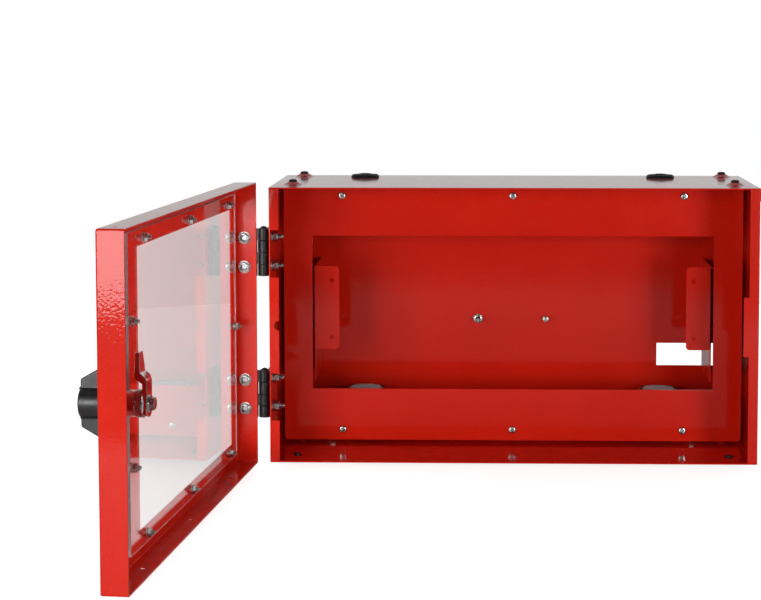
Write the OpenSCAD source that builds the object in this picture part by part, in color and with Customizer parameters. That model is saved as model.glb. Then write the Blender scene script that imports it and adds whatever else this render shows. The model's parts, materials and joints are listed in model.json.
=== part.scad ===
// Wall-mounted sheet-steel enclosure of a fire alarm control panel, with a glazed, lockable door.
// Millimetres. +Z is up, +X is right, the front faces -Y. The origin is the centre of the back
// face, on the wall. The door is designed in its closed place and then turned open about its hinges.

/* [Cabinet] */
// Width of the cabinet
box_w = 500; // [480:5:560]
// Height of the cabinet
box_h = 284; // [280:2:340]
// Depth of the cabinet from the wall
box_d = 190; // [180:5:240]
// Thickness of the steel sheet
sheet = 1.5; // [1:0.25:2]
// Width of the front lips on the side walls
lip_w = 10; // [8:0.5:12]
// Width of the wider lip section that the lock holds on to
strike_w = 15.5; // [13:0.5:18]
// Height of that section
strike_h = 61; // [40:1:80]
// Height of the fold that laps over the top right edge
lap_h = 13.5; // [8:0.5:20]

/* [Bezel] */
// Distance of the bezel's face behind the cabinet's front
bezel_setback = 95; // [80:1:100]
// Width of the cut-out in the bezel
cutout_w = 428; // [380:2:440]
// Height of the cut-out in the bezel
cutout_h = 165; // [120:1:180]
// Height of the cut-out's middle above the cabinet's middle
cutout_lift = 1; // [-5:0.5:5]
// Distance between the outer bezel screws, across
bezel_screw_span = 364; // [320:2:420]
// Distance between the upper and the lower bezel screws
bezel_screw_rise = 252; // [230:1:255]

/* [Back wall] */
// Width of the cable opening
cable_w = 70; // [40:1:80]
// Height of the cable opening
cable_h = 25; // [15:1:40]
// Distance between the wall holes, across
wall_span_x = 400; // [350:5:440]
// Distance between the wall holes, upright
wall_span_z = 230; // [210:2:240]
// Diameter of the wall holes
wall_hole_d = 8; // [6:0.5:9]

/* [Door] */
// How much taller the door is than the cabinet
door_over = 7; // [7:0.5:8]
// Depth of the door's flanges
door_depth = 23.5; // [22:0.5:26]
// Height of the door's middle above the cabinet's middle
door_lift = 1; // [0:0.5:1]
// How far the door's flanges reach back over the cabinet's front
door_lap = 7; // [5:0.5:8]
// Angle that the door stands open
open_angle = 94.8; // [0:0.2:180]
// Width of the window opening
window_w = 363; // [300:1:370]
// Height of the window opening
window_h = 240; // [200:1:250]
// Thickness of the window pane
pane_t = 3; // [2:0.5:4]

/* [Hinges] */
// Height of a hinge
hinge_h = 49; // [40:1:60]
// Distance from the door's middle to the middle of each hinge
hinge_reach = 73.5; // [60:0.5:90]
// Radius of a hinge's knuckles
knuckle_r = 6; // [5:0.25:6]
// Distance between the two screws in a leaf
hinge_screw_rise = 30; // [24:1:34]

/* [Lock] */
// Distance from the lock's middle to the door's free edge
lock_inset = 50; // [49:0.5:54]
// Radius of the lock's housing
housing_r = 11; // [10:0.5:12]
// Length of the cam from the lock's middle to its tip
cam_reach = 42; // [38:0.5:42]
// Span of the knob's two wings
wing_span = 62; // [50:1:70]

/* [Hidden] */
$fn = 48;

red = [0.78, 0.07, 0.04];
black = [0.05, 0.05, 0.055];
zinc = [0.72, 0.72, 0.70];
chrome = [0.80, 0.80, 0.82];
grey = [0.55, 0.56, 0.55];
clear = [0.82, 0.84, 0.86, 0.35];

// Slack between a shank and its hole, and between parts that turn in each other
slack = 0.05;
gap = 0.4;

// M4 fasteners: shank, nut across its flats, and the holes in the bezel, the brackets and the pane
m4_r = 2;
m4_flats = 7;
bezel_hole_r = 2.3;
bracket_hole_r = 2.2;
pane_hole_r = 2.3;

half_w = box_w / 2;
half_h = box_h / 2;
inner_x = half_w - sheet;
inner_z = half_h - sheet;
front_y = -box_d;
bezel_y = front_y + bezel_setback;

bezel_edge_gap = 4;
bezel_corner_r = 4;
spacer_flats = 8;
spacer_l = 20;
spacer_bore = 15;
spacer_neck_r = 3;
tab_w = 20;
tab_margin = 8;
tab_h = inner_z - bezel_screw_rise / 2 + tab_margin;
tab_foot = 12;
bezel_screw_lift = 0.5;

// Equipment brackets: flange face, leg and flange ends on the right side
bracket_y = bezel_y + 9;
bracket_x = 213;
bracket_flange_w = 27;
bracket_top = 50;
bracket_flange_low = -40;
bracket_leg_low = -75;
bracket_hole_x = 194;
bracket_holes_z = [34.5, -27];
bracket_foot_w = 14;
bracket_foot_low = -36;
bracket_stud_z = [38, -26];
bracket_corner_r = 4;

// Left edge and top of the cable opening, and the place of the two studs
cable_x = 161.5;
cable_top = -45;
stud_x = 37.5;
stud_z = -18;
earth_r = 2.5;
earth_l = 16;
earth_washer_t = 1;
earth_nut_h = 4;
standoff_l = 6;

entry_x = 161;
entry_y = -35;
grommet_hole_r = 13;
gland_hole_r = 16.2;
gland_r = 23;
gland_bore_r = 12.5;
gland_stem = 10;
gland_hex_h = 9;
gland_thread_r = 17.5;
gland_nut_low = 12;
gland_seat = 35;
gland_seat_r = 19.8;

plug_hole_r = 3.2;
locknut_h = 6;
hole_slack = 0.2;
boss_r = 10.5;
boss_rise = 3;
top_bosses = [[-229, -148], [229, -148], [-229, -22], [229, -22]];
floor_bosses = [[-225, -155], [225, -155]];
floor_holes = [[-225, -87], [225, -87]];

// Hinge axis, and the heights of the two hinges
hinge_x = -half_w - 6.7;
hinge_y = front_y + 13.6;
hinge_zs = [door_lift + hinge_reach, door_lift - hinge_reach];
pin_r = 2.5;
leaf_t = 4;
hinge_bolt_r = 3;
hinge_bolt_hole_r = 3.25;
hinge_bolt_head_r = 5.7;
hinge_bolt_head_h = 2.8;
hinge_bolt_washer_h = 0.8;
hinge_bolt_nut_h = 5;
hinge_socket_r = 2.2;
hinge_socket_h = 1.8;
box_bolt_l = 16.5;
door_bolt_l = 10.6;
knuckle_count = 4;
knuckle_h = (hinge_h - (knuckle_count - 1) * gap) / knuckle_count;
box_leaf_end = 23;
door_leaf_end = -27;
box_screw_y = hinge_y + 13;
door_screw_y = hinge_y - 19.2;
notch_h = 49;
notch_z = 74;

// Door faces in the closed place
door_h = box_h + door_over;
door_left = -half_w - 1 - sheet;
door_right = half_w + sheet + 1 + sheet;
box_inner = -inner_x;
door_inner = door_left + sheet;
door_low = door_lift - door_h / 2;
door_high = door_lift + door_h / 2;
rim_y = front_y + door_lap;
skin_out = rim_y - door_depth;
skin_in = skin_out + sheet;
window_x = -38.5;
pane_lap = 14;
pane_left = window_x - window_w / 2 - pane_lap - 3;
pane_right = window_x + window_w / 2 + 33;
fixing_lap = 6;
window_washer_t = 0.9;
row_step = 164;
row_fixings = [
    for (dx = [-row_step, 0, row_step], side = [-1, 1])
        [window_x - 1.5 + dx, door_lift + side * (window_h / 2 + fixing_lap)]
];
side_fixings = [
    [window_x + window_w / 2 + 24, door_lift - 61],
    [window_x + window_w / 2 + 24, door_lift + 61],
    [window_x - window_w / 2 - 11.5, door_lift]
];
fixings = concat(row_fixings, side_fixings);
drain_xs = [-170, 0, 170];

// Lock: its middle, and depths measured from the door skin's inner face
lock_x = door_right - lock_inset;
lock_z = door_lift;
spindle_r = 6;
housing_end = 17.5;
collar_end = 23.5;
cam_t = 4;
tongue_near = 17;
tongue_far = 22;
cam_w = 17;
drive = 8;
washer_t = 1.2;
bolt_head_h = 3.6;

// A box between two opposite corners
module block(low, high) {
    translate(low) cube(high - low);
}

// A cylinder along Y or X from one place to another
module y_rod(r, y0, y1) {
    translate([0, y0, 0]) rotate([-90, 0, 0]) cylinder(r = r, h = y1 - y0);
}
module x_rod(r, x0, x1) {
    translate([x0, 0, 0]) rotate([0, 90, 0]) cylinder(r = r, h = x1 - x0);
}

// A sheet standing across Y whose four corners are rounded
module rounded_sheet(x0, x1, y0, y1, z0, z1, r) {
    block([x0 + r, y0, z0], [x1 - r, y1, z1]);
    block([x0, y0, z0 + r], [x1, y1, z1 - r]);
    for (x = [x0 + r, x1 - r], z = [z0 + r, z1 - r]) {
        translate([x, 0, z]) y_rod(r, y0, y1);
    }
}

// A hexagon nut lying on Z = 0, given across its flats
module hex_nut(flats, h, bore_r) {
    difference() {
        cylinder(r = flats / sqrt(3), h = h, $fn = 6);
        translate([0, 0, -1]) cylinder(r = bore_r, h = h + 2);
    }
}

// A flat washer lying on Z = 0
module washer(r, bore_r, t) {
    difference() {
        cylinder(r = r, h = t);
        translate([0, 0, -1]) cylinder(r = bore_r, h = t + 2);
    }
}

// Turns things that stand on Z so that they point to -Y, or to +X
module facing_front() {
    rotate([90, 0, 0]) children();
}
module facing_right() {
    rotate([0, 90, 0]) children();
}

// Places the door's parts at the drawn opening angle
module hung() {
    translate([hinge_x, hinge_y, 0])
        rotate([0, 0, -open_angle])
            translate([-hinge_x, -hinge_y, 0]) children();
}

// ---- Cabinet shell ----

// A pressed corner boss that rises from Z = 0, and the hollow under it
module boss_shell() {
    cylinder(r1 = boss_r, r2 = boss_r - 5.5, h = boss_rise);
}

module boss_hollow() {
    translate([0, 0, -sheet]) cylinder(r1 = boss_r - 1, r2 = boss_r - 6.5, h = boss_rise);
    translate([0, 0, -8]) cylinder(r = plug_hole_r, h = 16);
}

module cabinet_wrap() {
    color(red) difference() {
        union() {
            block([-half_w, front_y, inner_z], [half_w, 0, half_h]);
            block([-half_w, front_y, -half_h], [half_w, 0, -inner_z]);
            block([-half_w, -sheet, -half_h], [half_w, 0, half_h]);
            block([half_w, front_y, half_h - lap_h], [half_w + sheet, 0, half_h]);
            for (p = top_bosses) {
                translate([p[0], p[1], half_h]) boss_shell();
            }
            for (p = floor_bosses) {
                translate([p[0], p[1], -half_h]) mirror([0, 0, 1]) boss_shell();
            }
        }
        for (p = top_bosses) {
            translate([p[0], p[1], half_h]) boss_hollow();
        }
        for (p = floor_bosses) {
            translate([p[0], p[1], -half_h]) mirror([0, 0, 1]) boss_hollow();
        }
        for (p = floor_holes) {
            translate([p[0], p[1], -half_h - 1]) cylinder(r = plug_hole_r, h = sheet + 2);
        }
        for (side = [-1, 1]) {
            translate([side * entry_x, entry_y, inner_z - 1]) cylinder(r = grommet_hole_r, h = sheet + 2);
            translate([side * entry_x, entry_y, -half_h - 1]) cylinder(r = gland_hole_r, h = sheet + 2);
        }
        for (x = [-1, 1] * wall_span_x / 2, z = [-1, 1] * wall_span_z / 2) {
            translate([x, 0, z]) y_rod(wall_hole_d / 2, -sheet - 1, 1);
        }
        block([cable_x, -sheet - 1, cable_top - cable_h], [cable_x + cable_w, 1, cable_top]);
    }
}

// A side wall with its front lip, drawn for the right side
module side_sheet() {
    block([inner_x, front_y, -inner_z], [half_w, -sheet, inner_z]);
    block([half_w - lip_w, front_y, -inner_z], [inner_x, front_y + sheet, inner_z]);
}

module hinge_screw_holes(x0, x1, y, r) {
    for (z = hinge_zs, dz = [-1, 1] * hinge_screw_rise / 2) {
        translate([0, y, z + dz]) x_rod(r, x0, x1);
    }
}

module left_side_wall() {
    color(red) difference() {
        mirror([1, 0, 0]) side_sheet();
        for (z = [-notch_z, notch_z]) {
            block(
                [-inner_x, front_y - 1, z - notch_h / 2],
                [-half_w + lip_w + 1, front_y + sheet + 1, z + notch_h / 2]
            );
        }
        translate([-half_w + lip_w, 0, 0]) y_rod(5, front_y - 1, front_y + sheet + 1);
        hinge_screw_holes(-half_w - 1, -inner_x + 1, box_screw_y, hinge_bolt_hole_r);
    }
}

module right_side_wall() {
    color(red) {
        side_sheet();
        block([half_w - strike_w, front_y, -strike_h / 2], [half_w - lip_w, front_y + sheet, strike_h / 2]);
    }
}

// ---- Bezel ----

module at_bezel_screws() {
    for (x = [-1, 0, 1] * bezel_screw_span / 2, side = [-1, 1]) {
        translate([x, bezel_y, bezel_screw_lift + side * bezel_screw_rise / 2]) children();
    }
}

module front_bezel() {
    edge_x = inner_x - bezel_edge_gap;
    edge_z = inner_z - bezel_edge_gap + 0.5;
    color(red) difference() {
        rounded_sheet(-edge_x, edge_x, bezel_y, bezel_y + sheet, -edge_z, edge_z, bezel_corner_r);
        translate([0, 0, cutout_lift]) block(
            [-cutout_w / 2, bezel_y - 1, -cutout_h / 2],
            [cutout_w / 2, bezel_y + sheet + 1, cutout_h / 2]
        );
        at_bezel_screws() y_rod(bezel_hole_r, -1, sheet + 1);
    }
}

// L-shaped tab under the top or on the floor, set back behind the bezel
module bezel_tab(x, screw_z) {
    web_y = bezel_y + sheet + spacer_l;
    difference() {
        block([x - tab_w / 2, web_y, inner_z - tab_h], [x + tab_w / 2, web_y + sheet, inner_z]);
        translate([x, 0, screw_z]) y_rod(spacer_neck_r, web_y - 1, web_y + sheet + 1);
    }
    block(
        [x - tab_w / 2, web_y + sheet - slack, inner_z - sheet],
        [x + tab_w / 2, web_y + sheet + tab_foot, inner_z]
    );
}

module bezel_tabs() {
    color(red) for (x = [-1, 0, 1] * bezel_screw_span / 2) {
        bezel_tab(x, bezel_screw_rise / 2 + bezel_screw_lift);
        mirror([0, 0, 1]) bezel_tab(x, bezel_screw_rise / 2 - bezel_screw_lift);
    }
}

// Tapped spacers between the tabs and the bezel, with a neck pressed into the tab
module bezel_spacers() {
    color(zinc) at_bezel_screws() translate([0, sheet, 0]) rotate([-90, 0, 0]) difference() {
        union() {
            cylinder(r = spacer_flats / sqrt(3), h = spacer_l, $fn = 6);
            cylinder(r = spacer_neck_r, h = spacer_l + sheet);
        }
        translate([0, 0, -1]) cylinder(r = m4_r + slack, h = spacer_bore + 1);
    }
}

// A pan-head cross screw whose head rests on Z = 0, with its shank pointing down
module pan_screw(head_r, head_h, shank_r, shank_l) {
    slot = head_r * 0.28;
    difference() {
        union() {
            cylinder(r = head_r, h = head_h * 0.55);
            translate([0, 0, head_h * 0.55]) cylinder(r1 = head_r, r2 = head_r * 0.68, h = head_h * 0.45);
        }
        for (a = [45, 135]) {
            rotate([0, 0, a]) translate([-head_r * 0.6, -slot / 2, head_h * 0.45])
                cube([head_r * 1.2, slot, head_h]);
        }
    }
    translate([0, 0, -shank_l]) cylinder(r = shank_r, h = shank_l);
}

module bezel_screws() {
    color(zinc) at_bezel_screws() facing_front() pan_screw(4, 2.6, m4_r, 15);
}

// ---- Equipment brackets and back wall ----

module equipment_bracket() {
    leg_in = bracket_x - sheet;
    flange_in = bracket_x - bracket_flange_w;
    foot_out = bracket_x + bracket_foot_w;
    difference() {
        union() {
            rounded_sheet(
                flange_in, bracket_x, bracket_y, bracket_y + sheet,
                bracket_flange_low, bracket_top, bracket_corner_r
            );
            block(
                [leg_in, bracket_y, bracket_flange_low], [bracket_x, bracket_y + sheet, bracket_top]
            );
        }
        for (z = bracket_holes_z) {
            translate([bracket_hole_x, 0, z]) y_rod(bracket_hole_r, bracket_y - 1, bracket_y + sheet + 1);
        }
    }
    block([leg_in, bracket_y + sheet, bracket_leg_low], [bracket_x, -sheet, bracket_top]);
    difference() {
        block([bracket_x, -2 * sheet, bracket_foot_low], [foot_out, -sheet, bracket_top - 2]);
        for (z = bracket_stud_z) {
            translate([bracket_x + bracket_foot_w / 2, 0, z])
                y_rod(bracket_hole_r, -2 * sheet - 1, -sheet + 1);
        }
    }
}

module right_equipment_bracket() {
    color(red) equipment_bracket();
}
module left_equipment_bracket() {
    color(red) mirror([1, 0, 0]) equipment_bracket();
}

module at_bracket_studs() {
    for (side = [-1, 1], z = bracket_stud_z) {
        translate([side * (bracket_x + bracket_foot_w / 2), -sheet, z]) children();
    }
}

module bracket_studs() {
    color(zinc) at_bracket_studs() y_rod(m4_r, -9, 0);
}
module bracket_nuts() {
    color(zinc) at_bracket_studs() translate([0, -sheet, 0]) facing_front()
        hex_nut(m4_flats, 3.2, m4_r + slack);
}

module at_stud(side) {
    translate([side * stud_x, -sheet, stud_z]) facing_front() children();
}

module earth_stud() {
    color(zinc) at_stud(-1) cylinder(r = earth_r, h = earth_l);
}
module earth_washer() {
    color(zinc) at_stud(-1) washer(5, earth_r + slack, earth_washer_t);
}
module earth_nut() {
    color(zinc) at_stud(-1) translate([0, 0, earth_washer_t]) hex_nut(8, earth_nut_h, earth_r + slack);
}
module standoff_stud() {
    color(zinc) at_stud(1) {
        cylinder(r = 3.4, h = standoff_l, $fn = 6);
        translate([0, 0, standoff_l]) cylinder(r = m4_r, h = standoff_l);
    }
}

// ---- Cable entries and plugs ----

module at_entries(z) {
    for (side = [-1, 1]) {
        translate([side * entry_x, entry_y, z]) children();
    }
}

// Blind rubber grommet: a groove holds the sheet, and a thin web closes the hole
module top_grommets() {
    neck = grommet_hole_r - slack;
    color(black) at_entries(inner_z) rotate_extrude() polygon([
        [0, 1.8], [8, 1.8], [10.5, -2.6], [14.2, -2.6], [14.6, 0], [neck, 0],
        [neck, sheet], [15.3, sheet], [15.3, 3.2], [13.6, 4.9], [6.4, 4.9], [5.6, 5.9], [0, 5.9]
    ]);
}

// Push-in plug with a low round head and a barb behind the sheet
module corner_plug() {
    top = boss_rise;
    stem = plug_hole_r - slack;
    rotate_extrude() polygon([
        [0, top - 6], [2.4, top - 6], [3.6, top - 3.6], [stem, top - 3],
        [stem, top], [4.4, top], [4.4, top + 1.4], [3.2, top + 2.6], [0, top + 2.6]
    ]);
}

module corner_plugs() {
    color(black) {
        for (p = top_bosses) {
            translate([p[0], p[1], half_h]) corner_plug();
        }
        for (p = floor_bosses) {
            translate([p[0], p[1], -half_h]) mirror([0, 0, 1]) corner_plug();
        }
    }
}

module floor_gland_bodies() {
    color(black) at_entries(-inner_z) difference() {
        union() {
            cylinder(r = gland_r, h = gland_hex_h, $fn = 6);
            translate([0, 0, gland_hex_h]) cylinder(r = gland_thread_r, h = 24);
            translate([0, 0, -gland_stem]) cylinder(r = gland_hole_r - hole_slack, h = gland_stem);
        }
        translate([0, 0, -gland_stem - 1]) cylinder(r = gland_bore_r, h = 60);
    }
}

// The nut that closes the gland: twelve-sided grip, round collar and a seat for the plug's head
module floor_gland_nuts() {
    grip_h = 26;
    collar_r = gland_r - 0.4;
    collar_h = 10.5;
    color(black) at_entries(-inner_z + gland_nut_low) difference() {
        union() {
            cylinder(r = gland_r, h = grip_h, $fn = 12);
            translate([0, 0, grip_h]) cylinder(r = collar_r, h = collar_h);
            translate([0, 0, grip_h + collar_h]) cylinder(r1 = collar_r, r2 = 20.6, h = 2);
        }
        translate([0, 0, -1]) cylinder(r = gland_thread_r + slack, h = gland_seat + 2);
        translate([0, 0, gland_seat]) cylinder(r = gland_seat_r, h = 6);
    }
}

// Blanking plug: a ribbed round head, and a stem that fills the gland's bore
module floor_gland_plugs() {
    head_h = 4.2;
    stem_h = gland_nut_low + gland_seat + gland_stem;
    rib_step = 6;
    rib_groove = 1.2;
    color(grey) at_entries(-inner_z + gland_nut_low + gland_seat) difference() {
        union() {
            cylinder(r = gland_seat_r - slack, h = head_h);
            translate([0, 0, -stem_h]) cylinder(r = gland_bore_r - slack, h = stem_h);
        }
        for (i = [-2 : 2]) {
            translate([-14, i * rib_step - rib_groove / 2, head_h - 0.8]) cube([28, rib_groove, 2]);
        }
    }
}

module floor_gland_locknuts() {
    color(black) at_entries(-half_h - locknut_h)
        hex_nut(40, locknut_h, gland_hole_r - hole_slack + slack);
}

// ---- Hinges ----

function knuckle_low(z, i) = z - hinge_h / 2 + i * (knuckle_h + gap);

// Knuckles with the given numbers, counted from the bottom, and the web that joins them to the leaf
module knuckles(z, numbers, bore_r, web_low, web_high) {
    for (i = numbers) {
        translate([hinge_x, hinge_y, knuckle_low(z, i)]) difference() {
            union() {
                cylinder(r = knuckle_r, h = knuckle_h);
                block([web_low[0], web_low[1], 0], [web_high[0], web_high[1], knuckle_h]);
            }
            translate([0, 0, -1]) cylinder(r = bore_r, h = knuckle_h + 2);
        }
    }
}

// Cuts the seats for two countersunk screws whose heads lie in the face at x
module leaf_screw_seats(z, x, y) {
    for (dz = [-1, 1] * hinge_screw_rise / 2) {
        translate([x, y, z + dz]) facing_right() {
            translate([0, 0, -1]) cylinder(r = hinge_bolt_hole_r, h = leaf_t + 2);
            translate([0, 0, -0.01])
                cylinder(r1 = hinge_bolt_head_r + 0.2, r2 = hinge_bolt_r + 0.1, h = hinge_bolt_head_h);
        }
    }
}

module box_leaf(z) {
    face = -half_w - leaf_t;
    color(black) {
        difference() {
            block(
                [face, hinge_y + knuckle_r + gap, z - hinge_h / 2],
                [-half_w, hinge_y + box_leaf_end, z + hinge_h / 2]
            );
            leaf_screw_seats(z, face, box_screw_y);
        }
        knuckles(z, [0, 2], pin_r + 0.02, [face - hinge_x, 0], [-half_w - hinge_x, knuckle_r + gap]);
    }
}

module door_leaf(z) {
    face = door_left - leaf_t;
    color(black) {
        difference() {
            block(
                [face, hinge_y + door_leaf_end, z - hinge_h / 2],
                [door_left, hinge_y - knuckle_r - gap, z + hinge_h / 2]
            );
            leaf_screw_seats(z, face, door_screw_y);
        }
        knuckles(z, [1, 3], pin_r + slack, [face - hinge_x, -knuckle_r - gap], [door_left - hinge_x, 0]);
    }
}

module hinge_pin(z) {
    color(black) translate([hinge_x, hinge_y, z - hinge_h / 2]) {
        cylinder(r = pin_r, h = hinge_h + gap);
        translate([0, 0, hinge_h + gap]) intersection() {
            cylinder(r = 3.6, h = 2);
            translate([0, 0, -2.4]) sphere(r = 4.4);
        }
    }
}

module upper_hinge_box_leaf() { box_leaf(hinge_zs[0]); }
module lower_hinge_box_leaf() { box_leaf(hinge_zs[1]); }
module upper_hinge_pin() { hinge_pin(hinge_zs[0]); }
module lower_hinge_pin() { hinge_pin(hinge_zs[1]); }
module upper_hinge_door_leaf() { hung() door_leaf(hinge_zs[0]); }
module lower_hinge_door_leaf() { hung() door_leaf(hinge_zs[1]); }

module at_hinge_screws(x, y) {
    for (z = hinge_zs, dz = [-1, 1] * hinge_screw_rise / 2) {
        translate([x, y, z + dz]) facing_right() children();
    }
}

// A countersunk screw whose head lies in Z = 0
module countersunk_screw(l) {
    difference() {
        union() {
            translate([0, 0, 0.1])
                cylinder(r1 = hinge_bolt_head_r, r2 = hinge_bolt_r, h = hinge_bolt_head_h - 0.1);
            translate([0, 0, hinge_bolt_head_h]) cylinder(r = hinge_bolt_r, h = l - hinge_bolt_head_h);
        }
        translate([0, 0, -1]) cylinder(r = hinge_socket_r, h = hinge_socket_h + 1, $fn = 6);
    }
}

module hinge_washer() {
    washer(6.5, hinge_bolt_r + slack, hinge_bolt_washer_h);
}

module hinge_nut() {
    translate([0, 0, hinge_bolt_washer_h]) hex_nut(10, hinge_bolt_nut_h, hinge_bolt_r + slack);
}

module box_hinge_screws() {
    color(zinc) at_hinge_screws(-half_w - leaf_t, box_screw_y) countersunk_screw(box_bolt_l);
}
module box_hinge_washers() {
    color(zinc) at_hinge_screws(box_inner, box_screw_y) hinge_washer();
}
module box_hinge_nuts() {
    color(zinc) at_hinge_screws(box_inner, box_screw_y) hinge_nut();
}
module door_hinge_screws() {
    color(zinc) hung() at_hinge_screws(door_left - leaf_t, door_screw_y) countersunk_screw(door_bolt_l);
}
module door_hinge_washers() {
    color(zinc) hung() at_hinge_screws(door_inner, door_screw_y) hinge_washer();
}
module door_hinge_nuts() {
    color(zinc) hung() at_hinge_screws(door_inner, door_screw_y) hinge_nut();
}

// ---- Door, drawn closed and then hung open ----

module door_tray() {
    window_low = [window_x - window_w / 2, skin_out - 1, door_lift - window_h / 2];
    window_high = [window_x + window_w / 2, skin_in + 1, door_lift + window_h / 2];
    color(red) hung() difference() {
        block([door_left, skin_out, door_low], [door_right, rim_y, door_high]);
        block(
            [door_left + sheet, skin_in, door_low + sheet], [door_right - sheet, rim_y + 1, door_high - sheet]
        );
        block(window_low, window_high);
        translate([lock_x, 0, lock_z]) y_rod(housing_r + 0.1, skin_out - 1, skin_in + 1);
        hinge_screw_holes(door_left - 1, door_inner + 1, door_screw_y, hinge_bolt_hole_r);
        for (x = drain_xs) {
            translate([x, (skin_in + rim_y) / 2, door_low - 1]) cylinder(r = 3, h = sheet + 2);
        }
        translate([door_right - 14, (skin_in + rim_y) / 2, door_high - sheet - 1])
            cylinder(r = 2, h = sheet + 2);
    }
}

module at_fixings(depth) {
    for (p = fixings) {
        translate([p[0], skin_in + depth, p[1]]) rotate([-90, 0, 0]) children();
    }
}

module window_pane() {
    color(clear) hung() difference() {
        block(
            [pane_left, skin_in, door_lift - window_h / 2 - pane_lap],
            [pane_right, skin_in + pane_t, door_lift + window_h / 2 + pane_lap]
        );
        at_fixings(-1) cylinder(r = pane_hole_r, h = pane_t + 2);
    }
}
module window_studs() {
    color(zinc) hung() at_fixings(0) cylinder(r = m4_r, h = 10);
}
module window_washers() {
    color(zinc) hung() at_fixings(pane_t) washer(4.6, m4_r + slack, window_washer_t);
}
module window_nuts() {
    color(zinc) hung() at_fixings(pane_t + window_washer_t) hex_nut(m4_flats, 3.4, m4_r + slack);
}

// ---- Lock ----

// Lock parts point inwards, with Z = 0 at the skin's inner face and their front towards -Y
module at_lock() {
    hung() translate([lock_x, skin_in, lock_z]) rotate([-90, 0, 0]) children();
}

module lock_housing() {
    color(chrome) at_lock() difference() {
        union() {
            translate([0, 0, -sheet - 3]) cylinder(r = 16, h = 2);
            translate([0, 0, -sheet - 1]) cylinder(r = housing_r, h = sheet + 1 + housing_end);
        }
        translate([0, 0, -10]) cylinder(r = spindle_r + slack, h = 40);
    }
}
module lock_seal() {
    color(black) at_lock() translate([0, 0, -sheet - 1]) washer(15.4, housing_r + slack, 1);
}
module lock_ring_nut() {
    color(zinc) at_lock() hex_nut(27, 5, housing_r + slack);
}

// Knob: a round hub between two wings that narrow outwards
module wing_knob() {
    base = -sheet - 3 - gap;
    base_h = 3.2;
    wing_end = -28.2;
    hub_end = -30.4;
    hub_r = 12.8;
    wing_t = 9;
    wing_low = base - base_h;
    color(black) at_lock() difference() {
        union() {
            translate([0, 0, wing_low]) cylinder(r = 27, h = base_h);
            intersection() {
                translate([0, 0, hub_end]) cylinder(r = hub_r, h = base - hub_end);
                translate([0, 0, hub_end + 42]) sphere(r = 42);
            }
            rotate([0, 90, 0]) translate([0, 0, -wing_t / 2]) linear_extrude(height = wing_t) polygon([
                [-wing_low, wing_span / 2], [-wing_end - 1, 20], [-wing_end, 19],
                [-wing_end, -19], [-wing_end - 1, -20], [-wing_low, -wing_span / 2]
            ]);
        }
        translate([0, 0, base - 12]) cylinder(r = spindle_r + slack, h = 13);
    }
}

module lock_spindle() {
    low = -sheet - 3 - gap - 11.5;
    color(zinc) at_lock() difference() {
        union() {
            translate([0, 0, low]) cylinder(r = spindle_r, h = housing_end + 1 - low);
            translate([0, 0, housing_end + gap]) cylinder(r = 11.6, h = collar_end - housing_end - gap);
            translate([-drive / 2, -drive / 2, collar_end]) cube([drive, drive, cam_t]);
        }
        translate([0, 0, collar_end - 10]) cylinder(r = 2.5 + slack, h = 20);
    }
}

// Cranked cam: a plan outline cut from a bent strip, pointing up
module lock_cam() {
    far = collar_end + cam_t;
    color(chrome) at_lock() difference() {
        intersection() {
            rotate([90, 0, 90]) translate([0, 0, -cam_w / 2]) linear_extrude(height = cam_w) polygon([
                [12, collar_end], [12, far], [-19, far], [-22, far - 1], [-26, tongue_far],
                [-cam_reach, tongue_far - 1], [-cam_reach, tongue_near + 0.5], [-24, tongue_near],
                [-20.5, tongue_near + 0.8], [-17, collar_end]
            ]);
            union() {
                translate([0, 0, tongue_near - 1]) cylinder(r = 11, h = 20);
                translate([0, 0, tongue_near - 1]) linear_extrude(height = 20) polygon([
                    [-cam_w / 2, 0], [cam_w / 2, 0], [cam_w / 2, -30], [cam_w / 2 - 3, -cam_reach],
                    [-cam_w / 2 + 3, -cam_reach], [-cam_w / 2, -30]
                ]);
            }
        }
        translate([-drive / 2 - slack, -drive / 2 - slack, 0])
            cube([drive + 2 * slack, drive + 2 * slack, 40]);
    }
}
module cam_washer() {
    color(zinc) at_lock() translate([0, 0, collar_end + cam_t]) washer(7, 2.6, washer_t);
}
module cam_bolt() {
    color(zinc) at_lock() {
        translate([0, 0, collar_end + cam_t + washer_t]) cylinder(r = 10 / sqrt(3), h = bolt_head_h, $fn = 6);
        translate([0, 0, collar_end - 6]) cylinder(r = 2.5, h = cam_t + washer_t + 6);
    }
}

cabinet_wrap();
left_side_wall();
right_side_wall();
front_bezel();
bezel_tabs();
bezel_spacers();
bezel_screws();
left_equipment_bracket();
right_equipment_bracket();
bracket_studs();
bracket_nuts();
earth_stud();
earth_washer();
earth_nut();
standoff_stud();
top_grommets();
corner_plugs();
floor_gland_bodies();
floor_gland_nuts();
floor_gland_plugs();
floor_gland_locknuts();
upper_hinge_box_leaf();
lower_hinge_box_leaf();
upper_hinge_pin();
lower_hinge_pin();
box_hinge_screws();
box_hinge_washers();
box_hinge_nuts();
door_tray();
window_pane();
window_studs();
window_washers();
window_nuts();
upper_hinge_door_leaf();
lower_hinge_door_leaf();
door_hinge_screws();
door_hinge_washers();
door_hinge_nuts();
lock_housing();
lock_seal();
lock_ring_nut();
wing_knob();
lock_spindle();
lock_cam();
cam_washer();
cam_bolt();
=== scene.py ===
"""Looks of a sheet-steel alarm panel enclosure with a glazed door: studio, materials and fine pieces."""

import json
import math

import bmesh
import bpy
from mathutils import Matrix, Vector


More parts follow.
